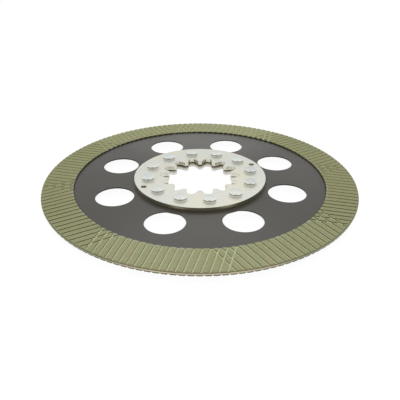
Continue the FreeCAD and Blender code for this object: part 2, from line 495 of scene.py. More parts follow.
@dataclass(frozen=True)
class FrictionPaper:
    """Olive paper lining: matt and mottled, with pale groove floors and painted shade on its inner edge.

    The lands carry painted shade toward the left and right. The groove floors are pale partly as the fresh
    fibre's colour and partly as painted light that offsets their shade. The walls of the grooves carry
    painted shade at the front that turns to painted light toward the back, where the photo shows them hardly
    at all.
    """

    floor_height: float
    land_height: float
    inner_radius: float
    outer_radius: float
    roughness: float = 0.92
    specular: float = 0.2
    colour: Colour = srgb(147, 149, 113)
    dark: Colour = srgb(128, 128, 92)
    light: Colour = srgb(163, 166, 134)
    # Painted shade toward the left and right.
    side_shade_band: Band = (0.25, 0.95, 0.03, 0.5)
    greyed: Colour = srgb(170, 166, 160)
    greyed_band: Band = (0.3 * MM, 3.0 * MM, 1.0, 0.0)
    smudge: Colour = srgb(160, 148, 124)
    land_band: Band = (-0.16 * MM, -0.04 * MM)
    sunk_band: Band = (0.02 * MM, 0.12 * MM, 1.0, 0.0)
    far_band: Band = (-90 * MM, 0.0)
    # Groove floors, painted pale partly to offset their shade.
    floor: Colour = srgb(184, 188, 148)
    far_floor: Colour = srgb(172, 175, 137)
    # Groove walls: painted shade at the front, painted light at the back.
    wall: Colour = srgb(78, 74, 46)
    back_wall_light: Colour = srgb(168, 165, 128)
    edge: Colour = srgb(168, 162, 125)
    lower_edge: Colour = srgb(127, 123, 98)
    lower_band: Band = (-0.5 * MM, 0.5 * MM, 1.0, 0.0)
    side_edge: Colour = srgb(166, 168, 130)
    side_edge_band: Band = (-160 * MM, -130 * MM)
    outer_band: Band = (-0.2 * MM, -0.05 * MM)
    # Painted shade on the inner cut face.
    inner_wall_shade: Colour = srgb(40, 33, 20)
    inner_band: Band = (0.8, 1.2, 1.0, 0.0)
    # How wide the painted shade on the inner edge is, at the front and at the back.
    inner_shade_front_band: Band = (-130 * MM, -60 * MM, 0.1 * MM, 0.55 * MM)
    inner_shade_back_band: Band = (60 * MM, 130 * MM, 0.0, 1.0 * MM)

    def _grooves(self, m: MaterialWriter) -> None:
        """Paint the floors of the grooves pale, partly as painted light against their shade, and their walls
        with painted shade at the front that turns to painted light toward the back.

        Args:
            m: The material's writer, with the lands painted.
        """
        height = m.math("ABSOLUTE", m.rise)
        land = m.band(height, self.land_band, self.land_height)
        sunk = m.band(height, self.sunk_band, self.floor_height)
        far = m.band(m.depth, self.far_band)
        # Painted shade on the walls at the front, painted light toward the back; floors painted pale against
        # their shade.
        wall = m.blend(far, self.wall, self.back_wall_light)
        m.colour = m.blend(land, m.blend(sunk, wall, m.blend(far, self.floor, self.far_floor)), m.colour)

    def _edges(self, m: MaterialWriter) -> None:
        """Paint the cut faces on the ring's outside, and painted shade on its inner one, wider toward the
        back.

        Args:
            m: The material's writer, with the lands and the grooves painted.
        """
        beside = m.band(m.depth, self.side_edge_band)
        front = m.blend(m.band(m.rise, self.lower_band), self.edge, self.lower_edge)
        outer = m.band(m.radius, self.outer_band, self.outer_radius)
        m.paint(m.blend(beside, front, self.side_edge), outer, share=0.9)
        # Painted shade on the inner cut face and its edge, wider toward the back.
        shade_width = m.math("ADD", m.band(m.depth, self.inner_shade_front_band), m.band(m.depth, self.inner_shade_back_band))
        inward = m.math("SUBTRACT", m.radius, self.inner_radius)
        m.paint(self.inner_wall_shade, m.band(m.math("DIVIDE", inward, shade_width), self.inner_band), share=0.9)

    def build(self) -> Material:
        """Write the material.

        Returns:
            The finished material.
        """
        m = MaterialWriter("friction_paper_finish", self.colour)
        fibres = m.effect(EFFECTS.fibres, Size=0.0005, Stretch=4.0)
        blotches = m.effect(EFFECTS.cloud, Size=0.0022, Detail=4.0, Low=0.38, High=0.62)
        clouds = m.effect(EFFECTS.cloud, Size=0.03, Detail=2.0, Low=0.35, High=0.7)
        smudges = m.effect(EFFECTS.cloud, Size=0.018, Detail=2.0, Low=0.52, High=0.7)
        handled = m.effect(EFFECTS.cloud, Size=0.014, Detail=1.0, Low=0.48, High=0.58)
        pits = m.effect(EFFECTS.specks, Spacing=0.0016, Size=0.28)
        m.paint(self.dark, blotches, share=0.55)
        m.paint(self.light, fibres.outputs["Mask"], share=0.5)
        m.paint(self.light, clouds, share=0.18)
        m.paint(self.dark, pits, share=0.4)
        m.paint(self.smudge, smudges, share=0.35)
        # Painted shade: the lands darker toward the left and right.
        m.paint(self.dark, m.band(m.sideways(), self.side_shade_band))
        inside = m.band(m.radius, self.greyed_band, self.inner_radius)
        m.paint(self.greyed, m.times(inside, handled), share=0.6)
        self._grooves(m)
        self._edges(m)
        relief = m.relief((blotches, 0.06 * MM), (fibres.outputs["Height"], 0.12 * MM))
        return m.finish(Roughness=self.roughness, Specular_IOR_Level=self.specular, Metallic=0.0,
                        Normal=relief)


class ZincTint(Enum):
    """Colours that the passivated zinc takes on: the main one and the two that it drifts into."""

    PLATE = (srgb(209, 208, 196), srgb(211, 209, 192), srgb(205, 207, 200))
    BLUE = (srgb(199, 206, 204), srgb(200, 207, 202), srgb(197, 205, 207))
    LAVENDER = (srgb(205, 206, 205), srgb(207, 207, 202), srgb(203, 204, 207))
    NEUTRAL = (srgb(203, 208, 199), srgb(205, 208, 197), srgb(201, 207, 202))
    # A darker grey, given to two rivets.
    DULL = (srgb(190, 193, 192), srgb(192, 194, 188), srgb(189, 191, 197))


@dataclass(frozen=True)
class Zinc:
    """Satin zinc plating whose thin passivation shines pale yellow-green, blue or lavender."""

    tint: ZincTint = ZincTint.PLATE
    roughness: float = 0.36
    metallic: float = 0.7
    dusty: Colour = srgb(190, 192, 186)
    speck: Colour = srgb(120, 112, 92)
    drift_offset: tuple[float, ...] = (0.3, 0.1, 0.2)

    def _details(self, m: MaterialWriter) -> Any:
        """Paint what belongs to one kind of piece.

        Args:
            m: The material's writer, with the plating painted.

        Returns:
            How metallic the surface is: a number or a node.
        """
        return self.metallic

    def build(self) -> Material:
        """Write the material.

        Returns:
            The finished material.
        """
        main, warm, cool = self.tint.value
        m = MaterialWriter(f"zinc_{self.tint.name.lower()}_finish", main)
        patches = m.effect(EFFECTS.cloud, Size=0.03, Detail=1.5, Low=0.42, High=0.62)
        drift = m.effect(EFFECTS.cloud, Size=0.045, Detail=1.0, Low=0.45, High=0.6,
                         Place=m.vector_math("ADD", m.place, self.drift_offset))
        spangle = m.effect(EFFECTS.cloud, Size=0.0016, Detail=3.0, Low=0.35, High=0.65)
        scuffs = m.effect(EFFECTS.scuffs, Spacing=0.0015, Length=0.012, Turn=1.1, Amount=0.5)
        specks = m.effect(EFFECTS.specks, Spacing=0.011, Size=0.055)
        m.paint(warm, patches)
        m.paint(cool, drift, share=0.7)
        m.paint(self.dusty, spangle, share=0.1)
        m.paint(self.speck, specks, share=0.5)
        metallic = self._details(m)
        smoother, rougher, scuffed = 0.02, 0.03, 0.05
        rough = m.ramp(spangle, 0.0, 1.0, self.roughness - smoother, self.roughness + rougher)
        rough = m.math("ADD", rough, m.times(scuffs, scuffed))
        relief = m.relief((spangle, 0.0006 * MM), (scuffs, 0.001 * MM))
        return m.finish(Metallic=metallic, Roughness=rough, Normal=relief)


@dataclass(frozen=True)
class PlateZinc(Zinc):
    """Zinc of the hub plates: painted shade toward the back, painted light on the bore's wall with painted
    shade by the joint and a painted shadow along its bottom edge, darker on the outer wall.
    """

    shaded: Colour = srgb(186, 187, 178)
    shaded_band: Band = (-60 * MM, 45 * MM, 0.0, 0.3)
    # Painted light on the bore's wall.
    inner: Colour = srgb(230, 229, 216)
    inner_height_band: Band = (4.85 * MM, 5.15 * MM, 1.0, 0.0)
    bore_band: Band = (46.5 * MM, 47.5 * MM, 1.0, 0.0)
    # Painted shade on the bore's wall: by the joint, as a contact shadow along the bottom edge, and stronger
    # toward the back.
    bore_shading: Colour = srgb(122, 112, 88)
    bore_shade_depth_band: Band = (12 * MM, 36 * MM, 0.2, 1.0)
    upper_shade_band: Band = (1.0 * MM, 4.6 * MM, 0.28, 0.0)
    lower_shade_band: Band = (-4.2 * MM, -1.2 * MM, 0.05, 0.8)
    bottom_shadow_band: Band = (-5.0 * MM, -4.4 * MM, 0.75, 0.0)
    joint_band: Band = (-0.1 * MM, 0.1 * MM)
    wall_high: Colour = srgb(132, 131, 112)
    wall_low: Colour = srgb(196, 189, 162)
    wall_height_band: Band = (2.0 * MM, 5.0 * MM)
    wall_band: Band = (74.2 * MM, 74.4 * MM)

    def _bore_shade_mask(self, m: MaterialWriter) -> Any:
        """Mask the painted shade on the bore's wall, which differs above and below the joint, and the
        painted contact shadow along its bottom edge.

        Args:
            m: The material's writer.

        Returns:
            The node with the mask.
        """
        above = m.band(m.rise, self.joint_band)
        below = m.band(m.rise, self.joint_band + (1.0, 0.0))
        upper = m.times(m.band(m.rise, self.upper_shade_band), above)
        lower = m.times(m.band(m.rise, self.lower_shade_band), below)
        bottom = m.band(m.rise, self.bottom_shadow_band)
        return m.math("ADD", m.math("ADD", upper, lower), bottom)

    def _details(self, m: MaterialWriter) -> Any:
        """Paint shade on the plate's back, painted light and painted shade on the bore's wall, and the
        colours of the outer one.

        Args:
            m: The material's writer, with the plating painted.

        Returns:
            The node that says how metallic the surface is: wholly so on the outer wall.
        """
        height = m.math("ABSOLUTE", m.rise)
        m.paint(self.shaded, m.band(m.depth, self.shaded_band))
        inside = m.band(m.radius, self.bore_band)
        # Painted light on the bore's wall.
        m.paint(self.inner, m.times(m.band(height, self.inner_height_band), inside))
        # Painted shade on the bore's wall.
        m.paint(self.bore_shading, m.times(self._bore_shade_mask(m), inside, m.band(m.depth, self.bore_shade_depth_band)))
        wall = m.band(m.radius, self.wall_band)
        m.paint(m.blend(m.band(height, self.wall_height_band), self.wall_low, self.wall_high), wall)
        return m.math("ADD", m.times(wall, 1.0 - self.metallic), self.metallic)


@dataclass(frozen=True)
class HeadZinc(Zinc):
    """Smoother zinc of the rivets: painted light below the heads' tops, with a band of painted shade and a
    painted contact shadow at the foot.
    """

    roughness: float = 0.2
    # Painted light on the heads' sides and chamfers.
    side: Colour = srgb(254, 254, 248)
    side_light_band: Band = (8.33 * MM, 8.53 * MM, 1.0, 0.0)
    shade: Colour = srgb(132, 136, 122)
    shade_low_band: Band = (6.63 * MM, 6.78 * MM)
    shade_high_band: Band = (7.63 * MM, 7.78 * MM, 1.0, 0.0)
    # Painted contact shadow at the heads' foot.
    foot_shadow: Colour = srgb(74, 76, 66)
    contact_shadow_band: Band = (5.35 * MM, 5.6 * MM, 1.0, 0.0)
    contact_shadow_depth_band: Band = (-20 * MM, 40 * MM, 0.35, 0.15)

    def _details(self, m: MaterialWriter) -> Any:
        """Paint light on the heads below their tops, and painted shade on a band round their sides and as a
        contact shadow at their foot.

        Args:
            m: The material's writer, with the plating painted.

        Returns:
            How metallic the surface is.
        """
        # Painted light below the tops.
        m.paint(self.side, m.band(m.rise, self.side_light_band))
        ring = m.times(m.band(m.rise, self.shade_low_band), m.band(m.rise, self.shade_high_band))
        m.paint(self.shade, ring)
        # Painted contact shadow at the foot.
        m.paint(self.foot_shadow, m.times(m.band(m.rise, self.contact_shadow_band), m.band(m.depth, self.contact_shadow_depth_band)))
        return self.metallic


# Shapes


class ShapeGroup(Group):
    """Writes a Geometry Nodes group, with short calls for the shapes that come up often."""

    def circle(self, corners: Any, radius: Any, hole: bool = False) -> Node:
        """Draw a round outline.

        Args:
            corners: How many corners it has.
            radius: Its radius.
            hole: Whether it bounds a hole, and so runs clockwise.

        Returns:
            The node with the outline.
        """
        curve = self.node("GeometryNodeCurvePrimitiveCircle", {"Resolution": corners, "Radius": radius})
        return self.node("GeometryNodeReverseCurve", {"Curve": curve}) if hole else curve

    def moved(self, shape: Any, **offset: Any) -> Node:
        """Move a shape along X, Y or Z."""
        return self.node("GeometryNodeTransform", {"Geometry": shape, "Translation": self.vector(**offset)})

    def copied(self, shape: Any, points: Any, **inputs: Any) -> Node:
        """Put a copy of a shape on every point."""
        return self.node("GeometryNodeInstanceOnPoints", {"Points": points, "Instance": shape, **inputs})

    def real(self, shape: Any) -> Node:
        """Make a shape's instances real."""
        return self.node("GeometryNodeRealizeInstances", {"Geometry": shape})

    def welded(self, *shapes: Any) -> Node:
        """Join shapes and merge the points that lie on one another.

        Args:
            shapes: One shape or several.

        Returns:
            The node with the whole shape.
        """
        whole = shapes[0]
        if len(shapes) > 1:
            whole = self.node("GeometryNodeJoinGeometry", {"Geometry": list(shapes)})
        return self.node("GeometryNodeMergeByDistance", {"Geometry": whole, "Distance": WELD})

    def turned(self, count: Any) -> tuple[Node, Node]:
        """Share a full turn out among points.

        Args:
            count: How many points there are.

        Returns:
            The point's number and its angle.
        """
        index = self.node("GeometryNodeInputIndex")
        return index, self.times(index, self.math("DIVIDE", math.tau, count))


class Shapes:
    """Groups that the pieces' trees share, each built at its first use."""

    @cached_property
    def hole_ring(self) -> NodeTree:
        """Outlines of round holes, evenly spaced on a circle and wound clockwise."""
        sockets = {"Count": 8, "Radius": 0.01, "Circle Radius": 0.1, "Start": 0.0, "Corners": 48}
        group = ShapeGroup("hole_ring", GEOMETRY, sockets, "Outlines")
        given = group.given
        share = group.math("DIVIDE", group.node("GeometryNodeInputIndex"), given["Count"])
        angle = group.math("ADD", given["Start"], group.times(share, math.tau))
        across = group.times(given["Circle Radius"], group.math("COSINE", angle))
        along = group.times(given["Circle Radius"], group.math("SINE", angle))
        place = group.vector(X=across, Y=along)
        centres = group.node("GeometryNodePoints", {"Count": given["Count"], "Position": place})
        hole = group.circle(given["Corners"], given["Radius"], hole=True)
        return group.close(Outlines=group.real(group.copied(hole, centres)))

    @cached_property
    def rolled_plate(self) -> NodeTree:
        """Flat plate between outlines, with its edges rolled over.

        The outer outline runs anticlockwise and the holes clockwise, so that each curve's
        normal points away from the metal. The flat faces end a little inside the rolls.
        """
        sockets = {"Outlines": "Geometry", **slab(0.0, 0.01, 0.0002, 0.0002)}
        group = ShapeGroup("rolled_plate", GEOMETRY, sockets, "Plate")
        given = group.given
        edge_steps, inset_share = 4, 1.2
        upright = group.node("GeometryNodeSetCurveNormal", {"Curve": given["Outlines"]}, mode="Z_UP")
        inset = group.times(group.math("MAXIMUM", given["Top Edge"], given["Bottom Edge"]), -inset_share)
        top = group.times(given["Top"], -1.0)
        bottom = group.times(given["Bottom"], -1.0)
        ends = ((inset, top), (0.0, top), (0.0, bottom), (inset, bottom))
        points = {f"Point {number}": group.vector(X=x, Y=y) for number, (x, y) in enumerate(ends, 1)}
        section = group.node("GeometryNodeCurvePrimitiveQuadrilateral", points, mode="POINTS")
        opened = group.node("GeometryNodeSetSplineCyclic", {"Geometry": section, "Cyclic": False})
        index = group.node("GeometryNodeInputIndex")
        last_upper = 1
        lower = group.node("FunctionNodeCompare", {2: index, 3: last_upper}, data_type="INT",
                           operation="GREATER_THAN")
        edge = group.node("GeometryNodeSwitch", {
            "Switch": lower, "False": given["Top Edge"], "True": given["Bottom Edge"]}, input_type="FLOAT")
        rolled = group.node(
            "GeometryNodeFilletCurve", {"Curve": opened, "Count": edge_steps, "Radius": edge}, mode="POLY")
        walls = group.node("GeometryNodeCurveToMesh", {"Curve": upright, "Profile Curve": rolled})
        normal = group.node("GeometryNodeInputNormal")
        shift = group.node("ShaderNodeVectorMath", {0: normal, "Scale": inset}, operation="SCALE")
        shrunk = group.node("GeometryNodeSetPosition", {"Geometry": upright, "Offset": shift})
        face = group.node("GeometryNodeFillCurve", {"Curve": shrunk})
        top_cap = group.moved(face, Z=given["Top"])
        bottom_cap = group.node("GeometryNodeFlipFaces", {"Mesh": group.moved(face, Z=given["Bottom"])})
        return group.close(Plate=group.welded(walls, top_cap, bottom_cap))


SHAPES = Shapes()


def slab(bottom: float, top: float, bottom_edge: float, top_edge: float) -> dict[str, float]:
    """Heights of a plate's faces and the size of its rolled edges, by the names of their inputs."""
    return {"Bottom": bottom, "Top": top, "Bottom Edge": bottom_edge, "Top Edge": top_edge}


@dataclass(frozen=True)
class HoleRing:
    """Round holes, evenly spaced on a circle."""

    name: str
    count: int
    radius: float
    circle_radius: float
    start: float

    def sizes(self) -> dict[str, Any]:
        """The ring's sizes, by the names of the inputs that they go into."""
        return {f"{self.name} Count": self.count, f"{self.name} Radius": self.radius,
                f"{self.name} Circle Radius": self.circle_radius, f"{self.name} Start": self.start}


WINDOWS = HoleRing("Window", 8, 20.65 * MM, 100.5 * MM, math.radians(25.3))
RIVETS = HoleRing("Rivet", 12, 4.0 * MM, 59.0 * MM, math.radians(10))
PINS = HoleRing("Pin", 2, 3.15 * MM, 67.6 * MM, math.radians(25.2))


class PieceTree(ShapeGroup):
    """Writes the tree of a piece, whose inputs are its sizes and its finish."""

    def __init__(self, name: str, sizes: dict[str, Any]) -> None:
        """Make the tree with an input for a base mesh, for every size and for the finish."""
        sockets = {"Geometry": "Geometry", **sizes, "Material": "Material"}
        super().__init__(name, GEOMETRY, sockets, "Piece")

    def holes(self, ring: HoleRing, corners: int) -> Node:
        """Draw a ring of holes whose sizes are among the tree's inputs.

        Args:
            ring: The ring.
            corners: How many corners each hole has.

        Returns:
            The node with the outlines.
        """
        labels = ("Count", "Radius", "Circle Radius", "Start")
        inputs = {label: self.given[f"{ring.name} {label}"] for label in labels}
        return self.node("GeometryNodeGroup", {**inputs, "Corners": corners}, node_tree=SHAPES.hole_ring)

    def plate(self, *outlines: Node) -> Node:
        """Fill the space between outlines with a plate whose edges are rolled.

        Args:
            outlines: The outer outline and the holes.

        Returns:
            The node with the plate.
        """
        inputs = {label: self.given[label] for label in ("Bottom", "Top", "Bottom Edge", "Top Edge")}
        inputs["Outlines"] = self.node("GeometryNodeJoinGeometry", {"Geometry": list(outlines)})
        return self.node("GeometryNodeGroup", inputs, node_tree=SHAPES.rolled_plate)

    def finish(self, shape: Any) -> NodeTree:
        """End the tree: instances made real, and the material set."""
        inputs = {"Geometry": self.real(shape), "Material": self.given["Material"]}
        return self.close(Piece=self.node("GeometryNodeSetMaterial", inputs))


@dataclass
class Piece:
    """One piece of the disc: how its mesh is made, and what it stands for."""

    name: str
    node: str
    slot: str
    tree: NodeTree
    sizes: dict[str, Any]
    finish: Material
    base: Mesh | None = None
    smooth_below: float = 0.9999
    sharp_angle: float = math.radians(32)

    def _mesh(self) -> Mesh:
        """Run the tree on the base mesh with the piece's sizes.

        Returns:
            The tree's result, as a plain mesh.
        """
        base = self.base or bpy.data.meshes.new(self.name + "_base")
        carrier = add_object(self.name + "_carrier", base)
        modifier = carrier.modifiers.new(self.tree.name, "NODES")
        modifier.node_group = self.tree
        values = {**self.sizes, "Material": self.finish}
        for item in self.tree.interface.items_tree:
            if item.in_out == "INPUT" and item.name in values:
                modifier[item.identifier] = values[item.name]
        graph = bpy.context.evaluated_depsgraph_get()
        mesh = bpy.data.meshes.new_from_object(carrier.evaluated_get(graph), depsgraph=graph)
        carrier.modifiers.remove(modifier)
        bpy.data.objects.remove(carrier)
        mesh.name = self.name
        return mesh

    def build(self) -> Object:
        """Make the mesh, weld it, turn its faces outwards, shade it and dress the piece.

        Returns:
            The piece, at the origin.
        """
        mesh = self._mesh()
        shape = bmesh.new()
        shape.from_mesh(mesh)
        bmesh.ops.remove_doubles(shape, verts=shape.verts, dist=WELD)
        bmesh.ops.dissolve_degenerate(shape, edges=shape.edges, dist=WELD)
        bmesh.ops.recalc_face_normals(shape, faces=shape.faces)
        for face in shape.faces:
            face.smooth = abs(face.normal.z) < self.smooth_below
        shape.to_mesh(mesh)
        shape.free()
        mesh.set_sharp_from_angle(angle=self.sharp_angle)
        piece = add_object(self.name, mesh)
        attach(piece, BODY)
        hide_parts(self.node)
        return piece


@dataclass
class CorePlate:
    """Thin steel disc with a ring of round windows."""

    node: str = "core_plate"
    bore_radius: float = 48.5 * MM
    edge: float = 0.15 * MM

    def build(self) -> list[Object]:
        """Make the plate and dress it.

        Returns:
            The piece.
        """
        low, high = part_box(self.node)
        sizes = {"Outer Radius": high.x, "Bore Radius": self.bore_radius, **WINDOWS.sizes(),
                 **RIVETS.sizes(), **PINS.sizes(), **slab(low.z, high.z, self.edge, self.edge)}
        tree = PieceTree("core_disc", sizes)
        rim = tree.circle(corners=256, radius=tree.given["Outer Radius"])
        bore = tree.circle(corners=128, radius=tree.given["Bore Radius"], hole=True)
        windows = tree.holes(WINDOWS, corners=96)
        plate = tree.plate(rim, bore, windows, tree.holes(RIVETS, corners=32), tree.holes(PINS, corners=32))
        steel = CoreSteel().build()
        return [Piece("core_disc", self.node, "core_steel", tree.finish(plate), sizes, steel).build()]


@dataclass
class Linings:
    """The two grooved friction rings."""

    width: float = 34.0 * MM
    floor: float = 0.8 * MM
    groove_width: float = 1.8 * MM
    pitch: float = 7.15 * MM
    grooves: int = 19
    shifts: tuple[float, ...] = (
        2.05 * MM, 2.85 * MM, -2.15 * MM, -1.6 * MM, -0.55 * MM, 1.05 * MM, 2.15 * MM, 2.85 * MM)
    start: float = math.radians(30.9)
    margin: float = 1.0 * MM
    edge: float = 0.12 * MM
    bar_start: float = 0.84

    def _sizes(self, radius: float, bottom: float, top: float) -> dict[str, Any]:
        """Sizes of one ring, as it lies with its grooves on top.

        Args:
            radius: The ring's outer radius.
            bottom: Height of its smooth face.
            top: Height of its grooved face.

        Returns:
            The sizes, by the names of the tree's inputs.
        """
        return {"Outer Radius": radius, "Inner Radius": radius - self.width, "Pitch": self.pitch,
                "Groove Floor": bottom + self.floor, "Groove Width": self.groove_width,
                "Grooves": self.grooves, "Sectors": len(self.shifts), "Start": self.start,
                "Margin": self.margin, **slab(bottom, top, self.edge, self.edge)}

    def _gang(self, tree: PieceTree) -> Node:
        """Draw the bars that one gang of grooves is cut with, from inside the ring to past its rim.

        Args:
            tree: The ring's tree.

        Returns:
            The node with the bars.
        """
        given = tree.given
        near = tree.times(given["Inner Radius"], self.bar_start)
        far = tree.math("ADD", given["Outer Radius"], given["Margin"])
        depth = tree.math("ADD", tree.math("SUBTRACT", given["Top"], given["Groove Floor"]), given["Margin"])
        size = tree.vector(X=tree.math("SUBTRACT", far, near), Y=given["Groove Width"], Z=depth)
        bar = tree.node("GeometryNodeMeshCube", {"Size": size})
        spans = tree.math("DIVIDE", tree.math("SUBTRACT", given["Grooves"], 1.0), 2.0)
        first = tree.times(given["Pitch"], spans, -1.0)
        middle = tree.math("DIVIDE", tree.math("ADD", near, far), 2.0)
        height = tree.math("ADD", given["Groove Floor"], tree.math("DIVIDE", depth, 2.0))
        begin = tree.vector(X=middle, Y=first, Z=height)
        step = tree.vector(Y=given["Pitch"])
        line = {"Count": given["Grooves"], "Start Location": begin, "Offset": step}
        return tree.copied(bar, tree.node("GeometryNodeMeshLine", line))

    def _tree(self, sizes: dict[str, Any]) -> NodeTree:
        """Tree of one ring: two sets of groove gangs cut out of a flat ring.

        It starts from one point per gang, whose Y is how far the gang sits to one side.
        Neighbouring gangs cross, so every other gang goes into one cut and the rest into
        the other.

        Args:
            sizes: The ring's sizes.

        Returns:
            The tree.
        """
        tree = PieceTree("grooved_ring", sizes)
        given = tree.given
        rim = tree.circle(corners=256, radius=given["Outer Radius"])
        cut = tree.plate(rim, tree.circle(corners=256, radius=given["Inner Radius"], hole=True))
        gang = self._gang(tree)
        index, turn = tree.turned(given["Sectors"])
        angle = tree.math("ADD", given["Start"], turn)
        places = tree.node("GeometryNodeMeshToPoints", {"Mesh": given["Geometry"]})
        slid = tree.spin(tree.node("GeometryNodeInputPosition"), angle)
        places = tree.node("GeometryNodeSetPosition", {"Geometry": places, "Position": slid})
        odd = tree.math("MODULO", index, 2.0)
        for chosen in (odd, tree.math("SUBTRACT", 1.0, odd)):
            gangs = tree.copied(gang, places, Selection=chosen, Rotation=tree.vector(Z=angle))
            cut = tree.node("GeometryNodeMeshBoolean", {"Mesh 1": cut, "Mesh 2": tree.real(gangs)},
                            operation="DIFFERENCE", solver="MANIFOLD")
        return tree.finish(cut)

    def build(self) -> list[Object]:
        """Make both rings and dress them. The lower one is made like the upper and turned over.

        Returns:
            The two pieces.
        """
        low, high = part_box("lining_top")
        tree = self._tree(self._sizes(high.x, low.z, high.z))
        paper = FrictionPaper(low.z + self.floor, high.z, high.x - self.width, high.x).build()
        pieces = []
        for side in ("top", "bottom"):
            node = "lining_" + side
            low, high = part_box(node)
            bottom, top = (low.z, high.z) if side == "top" else (-high.z, -low.z)
            gangs = bpy.data.meshes.new("gangs")
            gangs.from_pydata([(0.0, shift, 0.0) for shift in self.shifts], [], [])
            sizes = self._sizes(high.x, bottom, top)
            ring = Piece("friction_ring_" + side, node, "friction_paper", tree, sizes, paper, gangs)
            pieces.append(ring.build())
        turn_over(pieces[-1].data)
        return pieces


@dataclass
class SplinedHub:
    """The two hub plates: thick rings with an internal involute spline."""

    teeth: int = 14
    module: float = 6.0 * MM
    pressure_angle: float = math.radians(30)
    tip_depth: float = 5.4 * MM
    root_depth: float = 3.5 * MM
    root_round: float = 1.2 * MM
    tip_round: float = 0.7 * MM
    start: float = math.radians(-90)
    flank_points: int = 7
    rim_edge: float = 0.3 * MM
    joint_edge: float = 0.15 * MM

    @property
    def pitch_radius(self) -> float:
        """Radius of the pitch circle."""
        return self.module * self.teeth / 2

    def _involute(self, radius: float) -> float:
        """Involute function of the pressure angle at a radius."""
        base = self.pitch_radius * math.cos(self.pressure_angle)
        angle = math.acos(min(1.0, base / radius))
        return math.tan(angle) - angle

    def _half_space(self, radius: float) -> float:
        """Half of the angle that a tooth space takes up at a radius."""
        at_pitch = math.pi / (2 * self.teeth)
        return at_pitch + self._involute(self.pitch_radius) - self._involute(radius)

    def _point(self, radius: float, angle: float) -> Vector:
        """Point at a radius and an angle from the tooth's middle."""
        return Vector((radius * math.cos(self.start + angle), radius * math.sin(self.start + angle), 0.0))

    def _tooth_outline(self) -> list[Vector]:
        """Outline from the middle of one tooth space to the middle of the next.

        Returns:
            Points of the outline, clockwise, on the pieces' own plane.
        """
        root = self.pitch_radius + self.root_depth
        tip = self.pitch_radius - self.tip_depth
        half_pitch = math.pi / self.teeth
        corners = [(self._point(root, half_pitch), 0.0)]
        for step in range(self.flank_points + 1):
            radius = root + (tip - root) * step / self.flank_points
            roundness = {0: self.root_round, self.flank_points: self.tip_round}.get(step, 0.0)
            corners.append((self._point(radius, half_pitch - self._half_space(radius)), roundness))
        corners.append((self._point(tip, 0.0), 0.0))
        outline = rounded(corners)
        return outline + [reflect(point, self._point(1.0, 0.0)) for point in reversed(outline[:-1])]

    def _tree(self, sizes: dict[str, Any]) -> NodeTree:
        """Tree of one plate: one tooth's outline repeated round the bore, then rolled edges.

        Args:
            sizes: The plate's sizes.

        Returns:
            The tree.
        """
        tree = PieceTree("splined_plate", sizes)
        given = tree.given
        rotation = tree.vector(Z=tree.turned(given["Teeth"])[1])
        places = tree.node("GeometryNodePoints", {"Count": given["Teeth"]})
        copies = tree.real(tree.copied(given["Geometry"], places, Rotation=rotation))
        spline = tree.node("GeometryNodeMeshToCurve", {"Mesh": tree.welded(copies)})
        rim = tree.circle(corners=192, radius=given["Outer Radius"])
        rivets = tree.holes(RIVETS, corners=32)
        return tree.finish(tree.plate(rim, spline, rivets, tree.holes(PINS, corners=48)))

    def build(self) -> list[Object]:
        """Make both plates and dress them.

        Returns:
            The two pieces.
        """
        zinc = PlateZinc().build()
        tree = None
        pieces = []
        for side, bottom_edge, top_edge in (("top", self.joint_edge, self.rim_edge),
                                            ("bottom", self.rim_edge, self.joint_edge)):
            node = "hub_plate_" + side
            low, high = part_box(node)
            sizes = {"Teeth": self.teeth, "Outer Radius": high.x, **RIVETS.sizes(), **PINS.sizes(),
                     **slab(low.z, high.z, bottom_edge, top_edge)}
            tree = tree or self._tree(sizes)
            tooth = wire("tooth", self._tooth_outline())
            plate = Piece("splined_plate_" + side, node, "zinc_plate", tree, sizes, zinc, tooth)
            pieces.append(plate.build())
        return pieces


